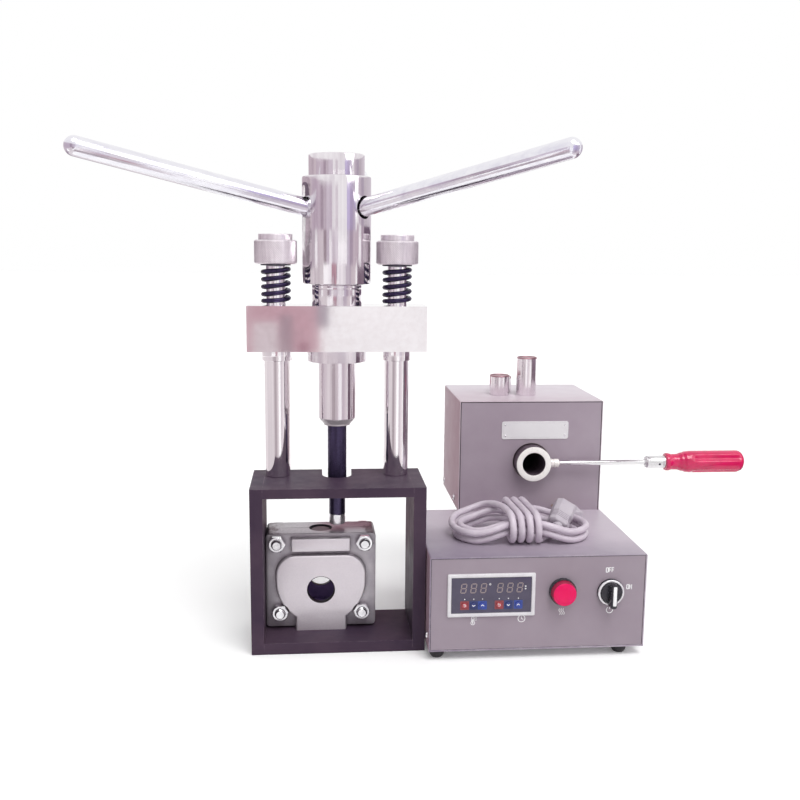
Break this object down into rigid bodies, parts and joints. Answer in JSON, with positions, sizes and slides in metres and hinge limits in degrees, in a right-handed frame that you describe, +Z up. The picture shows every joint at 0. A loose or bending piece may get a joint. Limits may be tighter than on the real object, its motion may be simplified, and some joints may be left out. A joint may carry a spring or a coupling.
{
  "type": "denture injection molding machine",
  "caption": "Manual screw press on a pillar frame with a denture flask, beside a cartridge heater with furnace, control panel, injection sleeve tool and mains lead.",
  "frame": {"origin": "on the table, under the axis of the press screw", "axes": "+X from the press towards the heater, +Y to the rear, +Z up; the panel faces -Y"},
  "size_m": [0.7301, 0.4314, 0.5156],
  "materials": {
    "frame_black": "satin black enamel",
    "beam_steel": "bright machined",
    "chrome_steel": "polished chrome",
    "spring_steel": "black oxide",
    "zinc_steel": "zinc plated",
    "bronze": "satin",
    "flask_alloy": "cast and machined",
    "case_paint": "satin grey enamel",
    "panel_paint": "satin grey enamel",
    "foot_rubber": "matte",
    "ceramic": "matte ceramic fibre",
    "tube_steel": "heat tinted",
    "circuit": "matte",
    "core_iron": "matte",
    "white_plastic": "gloss",
    "window_plastic": "gloss",
    "red_plastic": "gloss",
    "blue_plastic": "gloss",
    "black_plastic": "satin",
    "sleeve_alloy": "turned",
    "cartridge_alloy": "drawn",
    "cord_pvc": "satin grey PVC"
  },
  "bodies": {
    "frame": {"base_plate": "frame_black", "side_plates": "frame_black", "top_plate": "frame_black", "frame_screws": "zinc_steel", "pillars": "chrome_steel", "spring_left": "spring_steel", "spring_right": "spring_steel"},
    "beam": {"crossbeam": "beam_steel", "guide_tube": "beam_steel", "lock_ring": "beam_steel"},
    "washer_left": {"thrust_washer_left": "spring_steel"},
    "washer_right": {"thrust_washer_right": "spring_steel"},
    "nut_left": {"knurled_nut_left": "beam_steel"},
    "nut_right": {"knurled_nut_right": "beam_steel"},
    "ram_unit": {"ram": "chrome_steel", "push_rod": "spring_steel", "hub_thrust_washers": "bronze", "ram_nut": "beam_steel"},
    "hub_unit": {"hub": "chrome_steel", "hub_cap": "chrome_steel", "spokes": "chrome_steel"},
    "flask": {"flask_front": "flask_alloy", "flask_rear": "flask_alloy", "flask_bolts": "zinc_steel"},
    "heater": {"case_base": "case_paint", "case_cover": "case_paint", "front_panel": "panel_paint", "case_feet": "foot_rubber", "case_screws": "zinc_steel", "rear_stand": "case_paint", "furnace_chassis": "case_paint", "furnace_ends": "case_paint", "furnace_cover": "case_paint", "insulation": "ceramic", "heating_tube": "tube_steel", "heater_winding": "tube_steel", "thermocouple": "tube_steel", "transformer": "core_iron", "control_board": "circuit", "display_bezel": "white_plastic", "display_window": "window_plastic", "pilot_lamp": "red_plastic", "selector_body": "chrome_steel", "mains_inlet": "black_plastic", "cord_hank": "cord_pvc", "cord_connector": "cord_pvc", "mains_plug": "cord_pvc"},
    "knob": {"selector_knob": "black_plastic"},
    "sleeve_tool": {"injection_sleeve": "sleeve_alloy", "sleeve_handle": "chrome_steel", "sleeve_grip": "red_plastic"},
    "tall_cartridge": {"cartridge_tall": "cartridge_alloy"},
    "front_cartridge": {"cartridge_front": "cartridge_alloy"},
    "rear_cartridge": {"cartridge_rear": "cartridge_alloy"},
    "key_body_1": {"key_1": "red_plastic"},
    "key_body_2": {"key_2": "blue_plastic"},
    "key_body_3": {"key_3": "blue_plastic"},
    "key_body_4": {"key_4": "red_plastic"},
    "key_body_5": {"key_5": "blue_plastic"},
    "key_body_6": {"key_6": "blue_plastic"}
  },
  "joints": [
    {"name": "beam_lift", "type": "slide", "parent": "frame", "child": "beam", "axis": [0, 0, 1], "range_m": [0, 0.008], "stiffness_N_per_m": 60000, "deforming": ["spring_left", "spring_right"]},
    {"name": "ram_travel", "type": "slide", "parent": "beam", "child": "ram_unit", "axis": [0, 0, 1], "range_m": [0, 0.065]},
    {"name": "hub_turn", "type": "hinge", "parent": "ram_unit", "child": "hub_unit", "pos_m": [0, 0, 0.43], "axis": [0, 0, 1], "range_deg": [-1, 2930]},
    {"name": "nut_rise_left", "type": "slide", "parent": "frame", "child": "washer_left", "axis": [0, 0, 1], "range_m": [0, 0.006]},
    {"name": "nut_turn_left", "type": "hinge", "parent": "washer_left", "child": "nut_left", "pos_m": [-0.063, 0, 0.41], "axis": [0, 0, 1], "range_deg": [-1, 1082]},
    {"name": "nut_rise_right", "type": "slide", "parent": "frame", "child": "washer_right", "axis": [0, 0, 1], "range_m": [0, 0.006]},
    {"name": "nut_turn_right", "type": "hinge", "parent": "washer_right", "child": "nut_right", "pos_m": [0.063, 0, 0.41], "axis": [0, 0, 1], "range_deg": [-1, 1082]},
    {"name": "flask_out", "type": "slide", "parent": "frame", "child": "flask", "axis": [0, -1, 0], "range_m": [0, 0.15]},
    {"name": "heater_set", "type": "slide", "parent": "frame", "child": "heater", "axis": [1, 0, 0], "range_m": [0, 0.2]},
    {"name": "key_press_1", "type": "slide", "parent": "heater", "child": "key_body_1", "axis": [0, 1, 0], "range_m": [0, 0.0008], "stiffness_N_per_m": 400},
    {"name": "key_press_2", "type": "slide", "parent": "heater", "child": "key_body_2", "axis": [0, 1, 0], "range_m": [0, 0.0008], "stiffness_N_per_m": 400},
    {"name": "key_press_3", "type": "slide", "parent": "heater", "child": "key_body_3", "axis": [0, 1, 0], "range_m": [0, 0.0008], "stiffness_N_per_m": 400},
    {"name": "key_press_4", "type": "slide", "parent": "heater", "child": "key_body_4", "axis": [0, 1, 0], "range_m": [0, 0.0008], "stiffness_N_per_m": 400},
    {"name": "key_press_5", "type": "slide", "parent": "heater", "child": "key_body_5", "axis": [0, 1, 0], "range_m": [0, 0.0008], "stiffness_N_per_m": 400},
    {"name": "key_press_6", "type": "slide", "parent": "heater", "child": "key_body_6", "axis": [0, 1, 0], "range_m": [0, 0.0008], "stiffness_N_per_m": 400},
    {"name": "selector_turn", "type": "hinge", "parent": "heater", "child": "knob", "pos_m": [0.2785, -0.09, 0.07], "axis": [0, 1, 0], "range_deg": [0, 75]},
    {"name": "sleeve_out", "type": "slide", "parent": "heater", "child": "sleeve_tool", "axis": [0, -1, 0], "range_m": [0, 0.1]},
    {"name": "tall_lift", "type": "slide", "parent": "heater", "child": "tall_cartridge", "axis": [0, 0, 1], "range_m": [0, 0.06]},
    {"name": "front_lift", "type": "slide", "parent": "heater", "child": "front_cartridge", "axis": [0, 0, 1], "range_m": [0, 0.06]},
    {"name": "rear_lift", "type": "slide", "parent": "heater", "child": "rear_cartridge", "axis": [0, 0, 1], "range_m": [0, 0.06]}
  ],
  "couplings": [
    {"joint": "hub_turn", "follows": "ram_travel", "rad_per_m": 785.4},
    {"joint": "nut_turn_left", "follows": "nut_rise_left", "rad_per_m": 3141.6},
    {"joint": "nut_turn_right", "follows": "nut_rise_right", "rad_per_m": 3141.6}
  ]
}
